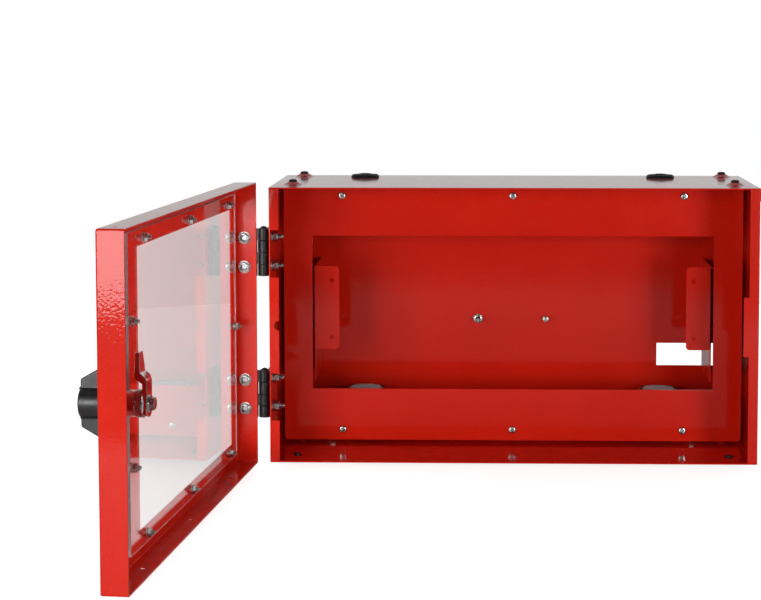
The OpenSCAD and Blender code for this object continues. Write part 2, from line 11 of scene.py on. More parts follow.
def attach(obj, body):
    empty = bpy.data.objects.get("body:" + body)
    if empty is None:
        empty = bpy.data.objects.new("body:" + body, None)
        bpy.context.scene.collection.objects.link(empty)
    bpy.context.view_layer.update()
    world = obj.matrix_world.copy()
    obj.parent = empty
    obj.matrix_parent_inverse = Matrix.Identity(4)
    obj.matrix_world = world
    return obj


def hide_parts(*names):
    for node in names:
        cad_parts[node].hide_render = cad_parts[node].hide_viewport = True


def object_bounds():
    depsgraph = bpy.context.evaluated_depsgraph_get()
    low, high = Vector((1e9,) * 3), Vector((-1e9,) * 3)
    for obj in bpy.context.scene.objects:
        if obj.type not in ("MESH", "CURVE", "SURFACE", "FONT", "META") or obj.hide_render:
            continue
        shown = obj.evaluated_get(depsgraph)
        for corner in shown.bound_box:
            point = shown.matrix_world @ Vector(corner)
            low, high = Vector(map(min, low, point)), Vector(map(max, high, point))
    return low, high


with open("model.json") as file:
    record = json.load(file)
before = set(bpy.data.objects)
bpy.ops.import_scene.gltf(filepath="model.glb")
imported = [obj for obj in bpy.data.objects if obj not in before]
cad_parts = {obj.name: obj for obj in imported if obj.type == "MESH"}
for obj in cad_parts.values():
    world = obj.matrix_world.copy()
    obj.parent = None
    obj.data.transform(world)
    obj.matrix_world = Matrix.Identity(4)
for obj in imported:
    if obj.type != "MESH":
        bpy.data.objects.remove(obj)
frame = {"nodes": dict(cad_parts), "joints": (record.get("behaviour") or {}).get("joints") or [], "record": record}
cad_low, cad_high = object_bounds()

MM = 0.001
X, Y, Z = Vector((1, 0, 0)), Vector((0, 1, 0)), Vector((0, 0, 1))
nodes = frame["nodes"]
joints = {joint["name"]: joint for joint in frame["joints"]}

# The door stands open; this matrix takes a point of the closed door to where the door stands
hinge = joints["door_hinge"]
hinge_at = Vector(hinge["pos_m"])
open_angle = math.radians(hinge["range_deg"][1])
DOOR = (
    Matrix.Translation(hinge_at)
    @ Matrix.Rotation(-open_angle, 4, "Z")
    @ Matrix.Translation(-hinge_at)
)
STILL = Matrix.Identity(4)


# ---- Camera, floor and light ----

def make_camera():
    data = bpy.data.cameras.new("camera")
    data.lens = 94.6
    data.sensor_width = 36
    data.shift_x = -0.08
    data.shift_y = -0.13
    camera = bpy.data.objects.new("camera", data)
    camera.location = (-0.0205, -2.217, 0.2927)
    tilt, yaw = 4.63, 1.5
    camera.rotation_euler = (math.radians(90 - tilt), 0, math.radians(yaw))
    bpy.context.scene.collection.objects.link(camera)
    bpy.context.scene.camera = camera


def area_light(name, place, target, size, power):
    """A softbox at place that faces target."""
    data = bpy.data.lights.new(name, "AREA")
    data.shape = "RECTANGLE"
    data.size, data.size_y = size
    data.energy = power
    light = bpy.data.objects.new(name, data)
    light.location = place
    light.rotation_euler = (Vector(target) - Vector(place)).to_track_quat("-Z", "Y").to_euler()
    bpy.context.scene.collection.objects.link(light)


def make_world():
    """White to the camera, also through glass, and a room that is dim in front for all other rays."""
    world = bpy.data.worlds.new("studio")
    bpy.context.scene.world = world
    world.use_nodes = True
    tree = world.node_tree
    tree.nodes.clear()
    output = tree.nodes.new("ShaderNodeOutputWorld")
    seen = tree.nodes.new("ShaderNodeBackground")
    seen.inputs["Color"].default_value = (1, 1, 1, 1)
    seen.inputs["Strength"].default_value = 1.0
    room = tree.nodes.new("ShaderNodeBackground")
    direction = tree.nodes.new("ShaderNodeTexCoord")
    split = tree.nodes.new("ShaderNodeSeparateXYZ")
    fade = tree.nodes.new("ShaderNodeMapRange")
    fade.interpolation_type = "SMOOTHSTEP"
    fade.inputs["From Min"].default_value = -0.35
    fade.inputs["From Max"].default_value = 0.75
    fade.inputs["To Min"].default_value = 0.03
    fade.inputs["To Max"].default_value = 0.78
    ray = tree.nodes.new("ShaderNodeLightPath")
    direct = tree.nodes.new("ShaderNodeMath")
    direct.operation = "MAXIMUM"
    mix = tree.nodes.new("ShaderNodeMixShader")
    tree.links.new(direction.outputs["Generated"], split.inputs["Vector"])
    tree.links.new(split.outputs["Y"], fade.inputs["Value"])
    tree.links.new(fade.outputs["Result"], room.inputs["Strength"])
    tree.links.new(ray.outputs["Is Camera Ray"], direct.inputs[0])
    tree.links.new(ray.outputs["Is Transmission Ray"], direct.inputs[1])
    tree.links.new(direct.outputs["Value"], mix.inputs["Fac"])
    tree.links.new(room.outputs["Background"], mix.inputs[1])
    tree.links.new(seen.outputs["Background"], mix.inputs[2])
    tree.links.new(mix.outputs["Shader"], output.inputs["Surface"])


def make_floor():
    """A round pale table top just under the object. It looks as white as the room behind it."""
    builder = bmesh.new()
    bmesh.ops.create_circle(builder, cap_ends=True, segments=96, radius=1.3)
    mesh = bpy.data.meshes.new("floor")
    builder.to_mesh(mesh)
    builder.free()
    floor = bpy.data.objects.new("floor", mesh)
    floor.location = (0, -0.1, cad_low.z - 0.5 * MM)
    bpy.context.scene.collection.objects.link(floor)
    paint = bpy.data.materials.new("floor_paint")
    paint.use_nodes = True
    shader = paint.node_tree.nodes["Principled BSDF"]
    shader.inputs["Base Color"].default_value = (0.80, 0.80, 0.80, 1)
    shader.inputs["Roughness"].default_value = 0.6
    shader.inputs["Emission Color"].default_value = (1, 1, 1, 1)
    ray = paint.node_tree.nodes.new("ShaderNodeLightPath")
    seen = paint.node_tree.nodes.new("ShaderNodeMath")
    seen.operation = "MAXIMUM"
    lift = paint.node_tree.nodes.new("ShaderNodeMath")
    lift.operation = "MULTIPLY"
    lift.inputs[1].default_value = 0.85
    paint.node_tree.links.new(ray.outputs["Is Camera Ray"], seen.inputs[0])
    paint.node_tree.links.new(ray.outputs["Is Transmission Ray"], seen.inputs[1])
    paint.node_tree.links.new(seen.outputs["Value"], lift.inputs[0])
    paint.node_tree.links.new(lift.outputs["Value"], shader.inputs["Emission Strength"])
    mesh.materials.append(paint)


make_camera()
make_world()
make_floor()
bpy.context.scene.view_settings.view_transform = "Standard"
middle = (cad_low + cad_high) / 2
area_light("key", place=(-1.05, -2.0, 0.22), target=middle, size=(1.0, 0.68), power=20)
area_light("side", place=(0.98, -1.95, 0.12), target=middle, size=(0.45, 0.6), power=15)


# ---- Materials ----

class Finish:
    """A material on the Principled shader, with short ways to add procedural patterns."""

    def __init__(self, name, color, roughness, metallic=0.0, **sockets):
        self.material = bpy.data.materials.new(name)
        self.material.use_nodes = True
        self.tree = self.material.node_tree
        self.shader = self.tree.nodes["Principled BSDF"]
        self.color = color
        self.shader.inputs["Base Color"].default_value = (*color, 1)
        self.shader.inputs["Roughness"].default_value = roughness
        self.shader.inputs["Metallic"].default_value = metallic
        for socket, value in sockets.items():
            self.shader.inputs[socket.replace("_", " ")].default_value = value
        self.place = self.tree.nodes.new("ShaderNodeTexCoord").outputs["Object"]

    def noise(self, scale, detail=2.0, roughness=0.5):
        """A noise pattern of about scale cells a metre."""
        texture = self.tree.nodes.new("ShaderNodeTexNoise")
        texture.inputs["Scale"].default_value = scale
        texture.inputs["Detail"].default_value = detail
        texture.inputs["Roughness"].default_value = roughness
        self.tree.links.new(self.place, texture.inputs["Vector"])
        return texture.outputs["Fac"]

    def spread(self, source, low, high, start=0.35, end=0.65):
        """Maps a pattern onto the values from low to high."""
        node = self.tree.nodes.new("ShaderNodeMapRange")
        node.inputs["From Min"].default_value = start
        node.inputs["From Max"].default_value = end
        node.inputs["To Min"].default_value = low
        node.inputs["To Max"].default_value = high
        self.tree.links.new(source, node.inputs["Value"])
        return node.outputs["Result"]

    def vary_color(self, source, other, start=0.35, end=0.65):
        """Goes from the present colour to another one with the pattern."""
        mix = self.tree.nodes.new("ShaderNodeMix")
        mix.data_type = "RGBA"
        present = self.shader.inputs["Base Color"]
        if present.is_linked:
            self.tree.links.new(present.links[0].from_socket, mix.inputs["A"])
        else:
            mix.inputs["A"].default_value = (*self.color, 1)
        mix.inputs["B"].default_value = (*other, 1)
        self.tree.links.new(self.spread(source, 0, 1, start, end), mix.inputs["Factor"])
        self.tree.links.new(mix.outputs["Result"], present)

    def vary(self, socket, source, low, high):
        """Lets a socket's value go from low to high with the pattern."""
        self.tree.links.new(self.spread(source, low, high), self.shader.inputs[socket])

    def bump(self, source, height):
        """Raises the surface by about height metres with the pattern. Returns the normal."""
        node = self.tree.nodes.new("ShaderNodeBump")
        node.inputs["Strength"].default_value = 1.0
        node.inputs["Distance"].default_value = height
        self.tree.links.new(source, node.inputs["Height"])
        self.tree.links.new(node.outputs["Normal"], self.shader.inputs["Normal"])
        return node.outputs["Normal"]


def red_powder_coat():
    """Gloss powder coat: a clear skin with orange peel over a slightly mottled red."""
    coat = Finish("red_paint", (0.64, 0.012, 0.002), 0.32,
                  Coat_Weight=1.0, Coat_Roughness=0.04, Coat_IOR=1.36, Specular_IOR_Level=0.08)
    coat.vary_color(coat.noise(9, 3), (0.58, 0.010, 0.002))
    coat.vary_color(coat.noise(620, 2), (0.70, 0.020, 0.004), 0.55, 0.75)
    coat.vary("Roughness", coat.noise(55, 3), 0.28, 0.38)
    peel = coat.bump(coat.noise(420, 1.5, 0.4), 0.00006)
    coat.tree.links.new(peel, coat.shader.inputs["Coat Normal"])
    return coat.material


def zinc_plate():
    """Bright zinc on steel, with faint blotches and a fine grain."""
    zinc = Finish("zinc_steel", (0.60, 0.60, 0.585), 0.24, metallic=1.0)
    zinc.vary_color(zinc.noise(160, 3), (0.48, 0.485, 0.48))
    zinc.vary("Roughness", zinc.noise(300, 2), 0.20, 0.30)
    zinc.bump(zinc.noise(1500, 2), 0.000003)
    return zinc.material


def chrome_plate():
    """Cast zinc under chrome: mirror-like, with a slightly wavy casting beneath."""
    chrome = Finish("chromed_steel", (0.80, 0.80, 0.82), 0.09, metallic=1.0)
    chrome.vary("Roughness", chrome.noise(220, 2), 0.06, 0.14)
    chrome.bump(chrome.noise(170, 2), 0.00008)
    return chrome.material


def black_coating():
    """Satin black coating of the hinges, with a fine grain."""
    coat = Finish("black_coated_steel", (0.007, 0.007, 0.0075), 0.34, Specular_IOR_Level=0.35)
    coat.vary_color(coat.noise(350, 2), (0.013, 0.013, 0.0135))
    coat.vary("Roughness", coat.noise(500, 2), 0.30, 0.44)
    coat.bump(coat.noise(900, 2), 0.00003)
    return coat.material


def moulded_plastic(name, color, other, roughness):
    """Moulded plastic with a fine spark-eroded grain."""
    plastic = Finish(name, color, roughness, Specular_IOR_Level=0.6)
    plastic.vary_color(plastic.noise(140, 3), other)
    plastic.vary("Roughness", plastic.noise(260, 2), roughness - 0.05, roughness + 0.07)
    plastic.bump(plastic.noise(1300, 2), 0.00003)
    return plastic.material


def soft_rubber():
    """Matt black rubber of the grommets and plugs."""
    rubber = Finish("black_rubber", (0.008, 0.008, 0.0085), 0.5, Specular_IOR_Level=0.35)
    rubber.vary_color(rubber.noise(200, 3), (0.016, 0.0155, 0.015))
    rubber.vary("Roughness", rubber.noise(320, 2), 0.45, 0.66)
    rubber.bump(rubber.noise(700, 3), 0.00004)
    return rubber.material


def sawn_edge():
    """The pane's edges, matt from the saw."""
    edge = Finish("sawn_edge", (0.80, 0.80, 0.80), 0.5, Transmission_Weight=0.6, IOR=1.3)
    edge.vary("Roughness", edge.noise(900, 2), 0.4, 0.6)
    edge.bump(edge.noise(1500, 2), 0.00003)
    return edge.material


def clear_sheet():
    """Clear polycarbonate with the faintest haze."""
    pane = Finish("clear_pane", (0.86, 0.86, 0.865), 0.0, Transmission_Weight=1.0, IOR=1.52)
    pane.vary("Roughness", pane.noise(30, 3), 0.0, 0.02)
    return pane.material


materials = {
    "red_paint": red_powder_coat(),
    "zinc_steel": zinc_plate(),
    "chromed_steel": chrome_plate(),
    "black_coated_steel": black_coating(),
    "black_plastic": moulded_plastic("black_plastic", (0.009, 0.009, 0.0095), (0.016, 0.016, 0.017), 0.38),
    "grey_plastic": moulded_plastic("grey_plastic", (0.40, 0.41, 0.40), (0.33, 0.34, 0.33), 0.50),
    "black_rubber": soft_rubber(),
    "clear_pane": clear_sheet(),
    "sawn_edge": sawn_edge(),
}
for node_object in nodes.values():
    for holder in node_object.material_slots:
        holder.material = materials[holder.material.name.split(".")[0]]


# ---- Softened edges of the CAD parts ----

def cleaning_group():
    """Geometry nodes that close a mesh's split vertices and drop its stored normals."""
    group = bpy.data.node_groups.new("close_mesh", "GeometryNodeTree")
    group.interface.new_socket("Geometry", in_out="INPUT", socket_type="NodeSocketGeometry")
    group.interface.new_socket("Geometry", in_out="OUTPUT", socket_type="NodeSocketGeometry")
    start, end = group.nodes.new("NodeGroupInput"), group.nodes.new("NodeGroupOutput")
    merge = group.nodes.new("GeometryNodeMergeByDistance")
    merge.inputs["Distance"].default_value = 0.002 * MM
    drop = group.nodes.new("GeometryNodeRemoveAttribute")
    drop.inputs["Name"].default_value = "custom_normal"
    group.links.new(start.outputs[0], drop.inputs["Geometry"])
    group.links.new(drop.outputs["Geometry"], merge.inputs["Geometry"])
    group.links.new(merge.outputs["Geometry"], end.inputs[0])
    return group


def weighting_group(name, wide_face, inner_share, edge_share):
    """Geometry nodes that give each edge its share of the bevel. A fold's outer edge lies between two
    wide faces and takes all of it, its inner edge inner_share, and every other sharp edge edge_share."""
    group = bpy.data.node_groups.new(name, "GeometryNodeTree")
    group.interface.new_socket("Geometry", in_out="INPUT", socket_type="NodeSocketGeometry")
    group.interface.new_socket("Geometry", in_out="OUTPUT", socket_type="NodeSocketGeometry")
    add, link = group.nodes.new, group.links.new
    start, end = add("NodeGroupInput"), add("NodeGroupOutput")

    def compare(source, operation, value):
        node = add("FunctionNodeCompare")
        node.operation = operation
        link(source, node.inputs[0])
        node.inputs[1].default_value = value
        return node.outputs[0]

    def choose(test, if_false, if_true):
        node = add("GeometryNodeSwitch")
        node.input_type = "FLOAT"
        link(test, node.inputs["Switch"])
        for socket, value in (("False", if_false), ("True", if_true)):
            if isinstance(value, (int, float)):
                node.inputs[socket].default_value = value
            else:
                link(value, node.inputs[socket])
        return node.outputs["Output"]

    area = add("GeometryNodeInputMeshFaceArea")
    wide = choose(compare(area.outputs["Area"], "GREATER_THAN", wide_face), 0.0, 1.0)
    on_face = add("GeometryNodeFieldOnDomain")
    on_face.domain = "FACE"
    link(wide, on_face.inputs["Value"])
    on_edge = add("GeometryNodeFieldOnDomain")
    on_edge.domain = "EDGE"
    link(on_face.outputs["Value"], on_edge.inputs["Value"])
    angle = add("GeometryNodeInputMeshEdgeAngle")
    is_sharp = compare(angle.outputs["Unsigned Angle"], "GREATER_THAN", SHARP_ABOVE)
    is_inner = compare(angle.outputs["Signed Angle"], "LESS_THAN", 0.0)
    is_fold = compare(on_edge.outputs["Value"], "GREATER_THAN", 0.9)
    share = choose(is_fold, edge_share, choose(is_inner, 1.0, inner_share))
    weight = choose(is_sharp, 0.0, share)
    store = add("GeometryNodeStoreNamedAttribute")
    store.data_type = "FLOAT"
    store.domain = "EDGE"
    store.inputs["Name"].default_value = "bevel_weight_edge"
    link(start.outputs[0], store.inputs["Geometry"])
    link(weight, store.inputs["Value"])
    link(store.outputs["Geometry"], end.inputs[0])
    return group


def shading_group(limit):
    """Geometry nodes that shade a mesh smooth, apart from its edges sharper than the limit."""
    group = bpy.data.node_groups.new("smooth_shading", "GeometryNodeTree")
    group.interface.new_socket("Geometry", in_out="INPUT", socket_type="NodeSocketGeometry")
    group.interface.new_socket("Geometry", in_out="OUTPUT", socket_type="NodeSocketGeometry")
    add, link = group.nodes.new, group.links.new
    start, end = add("NodeGroupInput"), add("NodeGroupOutput")
    faces = add("GeometryNodeSetShadeSmooth")
    faces.domain = "FACE"
    edges = add("GeometryNodeSetShadeSmooth")
    edges.domain = "EDGE"
    angle = add("GeometryNodeInputMeshEdgeAngle")
    compare = add("FunctionNodeCompare")
    compare.operation = "LESS_THAN"
    compare.inputs[1].default_value = limit
    link(angle.outputs["Unsigned Angle"], compare.inputs[0])
    link(compare.outputs[0], edges.inputs["Shade Smooth"])
    link(start.outputs[0], faces.inputs["Geometry"])
    link(faces.outputs["Geometry"], edges.inputs["Geometry"])
    link(edges.outputs["Geometry"], end.inputs[0])
    return group


# A sheet's faces are wider than this. The even weights' own limit is wider than any face
WIDE_FACE = 1500 * MM * MM
FLAT_ANGLE = math.radians(0.6)
SHARP_ABOVE = math.radians(30)
SMOOTH_BELOW = math.radians(32)
close_mesh = cleaning_group()
smooth_shading = shading_group(SMOOTH_BELOW)
fold_weights = weighting_group("fold_weights", wide_face=WIDE_FACE, inner_share=0.35, edge_share=0.22)
even_weights = weighting_group("even_weights", wide_face=1.0, inner_share=1.0, edge_share=1.0)


def clean(part):
    """Modifiers that close a mesh and join its triangles into flat faces, ready for a bevel."""
    part.modifiers.new("close", "NODES").node_group = close_mesh
    flat = part.modifiers.new("flat", "DECIMATE")
    flat.decimate_type = "DISSOLVE"
    flat.angle_limit = FLAT_ANGLE


def shade(part):
    """Modifiers that shade a bevelled mesh. Faces of five sides or more are split before that, since
    a bevel can leave them touching themselves. Returns the one that weights the normals."""
    part.modifiers.new("triangles", "TRIANGULATE").min_vertices = 5
    part.modifiers.new("shading", "NODES").node_group = smooth_shading
    normals = part.modifiers.new("normals", "WEIGHTED_NORMAL")
    normals.keep_sharp = True
    return normals


def soften(node, width, weights, segments=3):
    """Rounds a CAD part's edges with modifiers, which leave its own mesh as it is."""
    part = nodes[node]
    clean(part)
    part.modifiers.new("weights", "NODES").node_group = weights
    bevel = part.modifiers.new("bevel", "BEVEL")
    bevel.limit_method = "WEIGHT"
    bevel.width = width
    bevel.segments = segments
    bevel.use_clamp_overlap = False
    bevel.loop_slide = False
    shade(part).weight = 100


for sheet_part, fold_radius in (
    ("cabinet_wrap", 2.0),
    ("door_tray", 2.0),
    ("left_equipment_bracket", 1.3),
    ("right_equipment_bracket", 1.3),
    ("left_side_wall", 0.7),
    ("right_side_wall", 0.7),
    ("front_bezel", 0.9),
    ("bezel_tabs", 1.0),
):
    soften(sheet_part, fold_radius * MM, fold_weights)
for fitting, edge_radius in (
    ("upper_hinge_box_leaf", 0.4),
    ("lower_hinge_box_leaf", 0.4),
    ("upper_hinge_door_leaf", 0.4),
    ("lower_hinge_door_leaf", 0.4),
    ("upper_hinge_pin", 0.4),
    ("lower_hinge_pin", 0.4),
    ("floor_gland_bodies", 0.5),
    ("floor_gland_locknuts", 0.5),
    ("bezel_spacers", 0.25),
    ("standoff_stud", 0.25),
    ("lock_housing", 0.4),
    ("lock_ring_nut", 0.4),
    ("lock_spindle", 0.3),
    ("lock_cam", 0.6),
):
    soften(fitting, edge_radius * MM, even_weights, 2)
soften("wing_knob", 1.2 * MM, even_weights, 3)


# ---- Measuring the CAD's small parts ----

record = frame["record"]
body_of = {node: body for body, members in record["behaviour"]["bodies"].items() for node in members}
slot_of = {part["node"]: part["material_slot"] for part in record["subparts"]}
SAME_PLACE = 0.01 * MM


def standing(node):
    """The matrix from the place with the door closed to where the node stands."""
    return STILL if body_of[node] == "cabinet" else DOOR


def solids(node):
    """The lowest and highest corner of each separate solid of a CAD node, with the door closed."""
    part = nodes[node]
    to_closed = standing(node).inverted() @ part.matrix_world
    place_numbers, owner, number_of = {}, [], []

    def root(number):
        while owner[number] != number:
            number = owner[number]
        return number

    for vertex in part.data.vertices:
        place = tuple(round(value / SAME_PLACE) for value in vertex.co)
        if place not in place_numbers:
            place_numbers[place] = len(owner)
            owner.append(len(owner))
        number_of.append(place_numbers[place])
    for edge in part.data.edges:
        first, second = (root(number_of[index]) for index in edge.vertices)
        owner[max(first, second)] = min(first, second)
    groups = {}
    for vertex in part.data.vertices:
        groups.setdefault(root(number_of[vertex.index]), []).append(to_closed @ vertex.co)
    boxes = []
    for points in groups.values():
        lowest = Vector([min(point[axis] for point in points) for axis in range(3)])
        highest = Vector([max(point[axis] for point in points) for axis in range(3)])
        boxes.append((lowest, highest))
    return boxes


class Seat:
    """Where one solid stands: a matrix with Z outward from its inner end, and its size in that frame."""

    def __init__(self, node, lowest, highest, outward):
        size = highest - lowest
        along = max(range(3), key=lambda axis: abs(outward[axis]))
        wide, narrow = sorted((axis for axis in range(3) if axis != along), key=lambda axis: -size[axis])
        self.length, self.wide, self.narrow = size[along], size[wide], size[narrow]
        base = (lowest + highest) / 2 - outward * self.length / 2
        side = Vector([1.0 if axis == wide else 0.0 for axis in range(3)])
        turn = Matrix((side, outward.cross(side), outward)).transposed().to_4x4()
        self.matrix = standing(node) @ Matrix.Translation(base) @ turn


def seats(node, outward):
    """The seats of a node's solids. Outward is a direction, or a function from a solid's centre to one."""
    found = []
    for lowest, highest in solids(node):
        direction = outward((lowest + highest) / 2) if callable(outward) else outward
        found.append(Seat(node, lowest, highest, direction))
    return found


# ---- Shapes of the fine pieces, each with its inner end in Z = 0 and Z outward ----

# Nominal radii and pitches of the threads, and the slack of a washer on its thread
M4_R, M5_R, M6_R = 2.0 * MM, 2.5 * MM, 3.0 * MM
M4_PITCH, M5_PITCH, M6_PITCH = 0.7 * MM, 0.8 * MM, 1.0 * MM
SLACK = 0.05 * MM

# How much of a hinge bolt shorter than SHORT_BOLT is left out at its end
SHORT_BOLT, OPEN_MOUTH = 12 * MM, 3.2 * MM

# The corners of a rectangle, going round
CORNERS = ((-1, -1), (1, -1), (1, 1), (-1, 1))


def to_mesh(builder):
    """Ends a bmesh, with its faces turned outwards."""
    bmesh.ops.recalc_face_normals(builder, faces=builder.faces)
    mesh = bpy.data.meshes.new("shape")
    builder.to_mesh(mesh)
    builder.free()
    return mesh


def joined(*meshes):
    """One mesh made of several."""
    builder = bmesh.new()
    for mesh in meshes:
        builder.from_mesh(mesh)
    mesh = bpy.data.meshes.new("shape")
    builder.to_mesh(mesh)
    builder.free()
    return mesh


def lifted(mesh, height):
    """The mesh, moved outward."""
    mesh.transform(Matrix.Translation((0, 0, height)))
    return mesh


def rounded(points, closed, steps=3):
    """A profile with fillets. Each point is (radius, height) or (radius, height, fillet)."""
    profile = []
    for index, point in enumerate(points):
        here = Vector(point[:2])
        fillet = point[2] if len(point) > 2 else 0
        if not fillet or (not closed and index in (0, len(points) - 1)):
            profile.append(tuple(here))
            continue
        before = Vector(points[index - 1][:2]) - here
        after = Vector(points[(index + 1) % len(points)][:2]) - here
        reach = min(fillet, before.length * 0.48, after.length * 0.48)
        start, end = here + before.normalized() * reach, here + after.normalized() * reach
        for step in range(steps + 1):
            share = step / steps
            curve = start * (1 - share) ** 2 + here * 2 * share * (1 - share) + end * share ** 2
            profile.append(tuple(curve))
    return profile


def lathe(points, closed=False, segments=48, wave=None):
    """A profile turned about Z. A closed profile makes a ring. Wave scales the radius by angle."""
    builder = bmesh.new()
    rings = []
    for radius, height in rounded(points, closed):
        if radius < 0.001 * MM:
            rings.append([builder.verts.new((0, 0, height))])
            continue
        ring = []
        for index in range(segments):
            angle = 2 * math.pi * index / segments
            reach = radius * (wave(angle, height) if wave else 1)
            ring.append(builder.verts.new((reach * math.cos(angle), reach * math.sin(angle), height)))
        rings.append(ring)
    pairs = list(zip(rings, rings[1:] + rings[:1])) if closed else list(zip(rings, rings[1:]))
    for lower, upper in pairs:
        for index in range(segments):
            after = (index + 1) % segments
            corners = [lower[index % len(lower)], lower[after % len(lower)],
                       upper[after % len(upper)], upper[index % len(upper)]]
            corners = list(dict.fromkeys(corners))
            if len(corners) > 2:
                builder.faces.new(corners)
    return to_mesh(builder)


def tapered_block(lower, upper):
    """A block between two outlines of four points each."""
    builder = bmesh.new()
    low_ring, high_ring = ([builder.verts.new(point) for point in points] for points in (lower, upper))
    builder.faces.new(low_ring[::-1])
    builder.faces.new(high_ring)
    for index in range(4):
        after = (index + 1) % 4
        builder.faces.new((low_ring[index], low_ring[after], high_ring[after], high_ring[index]))
    return to_mesh(builder)


def hex_nut(flats, height, bore, countersink=0.25 * MM):
    """A hexagon nut with a corner on X, chamfered at its corners and in its bore."""
    corner = math.radians(30)
    chamfer_r = flats * 0.475
    builder = bmesh.new()
    rings = []
    for kind in ("bore_low", "bore_high", "mouth", "face", "edge", "foot", "sole", "inlet"):
        ring = []
        for index in range(48):
            angle = 2 * math.pi * index / 48
            reach = flats / 2 / math.cos(angle % (2 * corner) - corner)
            if kind in ("edge", "foot"):
                drop = (reach - chamfer_r) * math.tan(corner)
                radius, z = reach, (height - drop if kind == "edge" else drop)
            else:
                radius, z = {
                    "bore_low": (bore, countersink), "bore_high": (bore, height - countersink),
                    "mouth": (bore + countersink, height), "face": (chamfer_r, height),
                    "sole": (chamfer_r, 0), "inlet": (bore + countersink, 0),
                }[kind]
            ring.append(builder.verts.new((radius * math.cos(angle), radius * math.sin(angle), z)))
        rings.append(ring)
    for lower, upper in zip(rings, rings[1:] + rings[:1]):
        for index in range(48):
            after = (index + 1) % 48
            builder.faces.new((lower[index], lower[after], upper[after], upper[index]))
    return to_mesh(builder)


def threaded_rod(radius, length, pitch, segments=32):
    """A rod with a helical V thread and chamfered ends."""
    root_r = radius - 0.55 * pitch
    levels = (root_r, (root_r + radius) / 2, radius, (root_r + radius) / 2)
    step = pitch / len(levels)
    count = math.ceil(length / step) + 2 * len(levels)
    builder = bmesh.new()
    grid = []
    for row in range(count + 1):
        ring = []
        for index in range(segments):
            z = (row - len(levels)) * step + pitch * index / segments
            z = min(max(z, 0), length)
            radius_here = min(levels[row % len(levels)], root_r - 0.1 * pitch + min(z, length - z))
            angle = 2 * math.pi * index / segments
            ring.append(builder.verts.new((radius_here * math.cos(angle), radius_here * math.sin(angle), z)))
        grid.append(ring)
    for row in range(count):
        for index in range(segments):
            after, turn = (index + 1) % segments, len(levels) * ((index + 1) // segments)
            if row + 1 + turn <= count:
                builder.faces.new((grid[row][index], grid[row + turn][after],
                                   grid[row + 1 + turn][after], grid[row + 1][index]))
    bmesh.ops.remove_doubles(builder, verts=builder.verts, dist=0.01 * MM)
    bmesh.ops.dissolve_degenerate(builder, dist=0.005 * MM, edges=builder.edges)
    bmesh.ops.holes_fill(builder, edges=builder.edges, sides=0)
    loose = [vertex for vertex in builder.verts if not vertex.link_faces]
    bmesh.ops.delete(builder, geom=loose, context="VERTS")
    return to_mesh(builder)


def cut(mesh, cutter):
    """The mesh without the cutter's space."""
    body, tool = (bpy.data.objects.new("cut", part) for part in (mesh, cutter))
    for part in (body, tool):
        bpy.context.scene.collection.objects.link(part)
    boolean = body.modifiers.new("cut", "BOOLEAN")
    boolean.operation = "DIFFERENCE"
    boolean.object = tool
    graph = bpy.context.evaluated_depsgraph_get()
    result = bpy.data.meshes.new_from_object(body.evaluated_get(graph))
    for part in (body, tool):
        bpy.data.objects.remove(part)
    return result


def recess_blade(reach, width, depth, top, turn):
    """One blade that tapers downwards. Two of them, crossed, cut a cross recess."""
    spin = Matrix.Rotation(math.radians(turn), 3, "Z")
    return tapered_block(*(
        [spin @ Vector((sx * reach * share, sy * width / 2 * (0.5 + 0.5 * share), z)) for sx, sy in CORNERS]
        for share, z in ((0.35, top - depth), (1.0, top + 0.3 * MM))
    ))


def pan_screw(length, head_r):
    """A pan-head screw with a cross recess."""
    head = 2.6 * MM
    seat = length - head
    body = lathe([
        (0, 0), (1.4 * MM, 0), (M4_R, 0.6 * MM), (M4_R, seat), (head_r - 0.3 * MM, seat, 0.15 * MM),
        (head_r, seat + 0.3 * MM, 0.2 * MM), (head_r, seat + head * 0.62, 0.5 * MM),
        (head_r * 0.8, length - 0.22 * MM, 0.6 * MM), (head_r * 0.45, length - 0.03 * MM, 0.5 * MM),
        (0, length),
    ])
    for turn in (45, 135):
        body = cut(body, recess_blade(2.5 * MM, 1.25 * MM, 1.8 * MM, length, turn))
    return body


def hinge_screw(seat):
    """A threaded countersunk screw with a hexagon socket in its head. A short one, as in the door, is
    drawn short, so that the mouth of its nut is open."""
    length, rim = seat.length, seat.wide / 2
    tip = OPEN_MOUTH if length < SHORT_BOLT else 0
    head = lathe([
        (0, length - 3.8 * MM), (2.8 * MM, length - 3.8 * MM), (M6_R, length - 2.9 * MM),
        (rim - 0.1 * MM, length - 0.35 * MM, 0.1 * MM), (rim, length, 0.15 * MM), (0, length),
    ])
    socket = lathe([
        (0, length - 2.2 * MM), (2.2 * MM, length - 1.8 * MM), (2.2 * MM, length + MM), (0, length + MM)
    ], segments=6)
    rod = threaded_rod(M6_R, length - 3.5 * MM - tip, M6_PITCH)
    return joined(lifted(rod, tip), cut(head, socket))


def hex_bolt(seat):
    """A hexagon-head bolt: its head's corners lie on the seat's wide side."""
    head = 3.5 * MM
    low, high = 0.2 * MM, head - 0.15 * MM
    stem = threaded_rod(M5_R, seat.length - head + 0.3 * MM, M5_PITCH)
    crown = hex_nut(seat.narrow, head, 0.5 * MM, 0.1 * MM)
    plug = lathe([(0, low), (M5_R, low), (M5_R, high), (0, high)])
    return joined(stem, lifted(joined(crown, plug), seat.length - head))


def plain_washer(seat, bore):
    """A washer whose four edges are rounded."""
    half, height = seat.wide / 2, seat.length
    soft = 0.2 * MM
    return lathe([(bore, 0, soft), (half, 0, soft), (half, height, soft), (bore, height, soft)], closed=True)


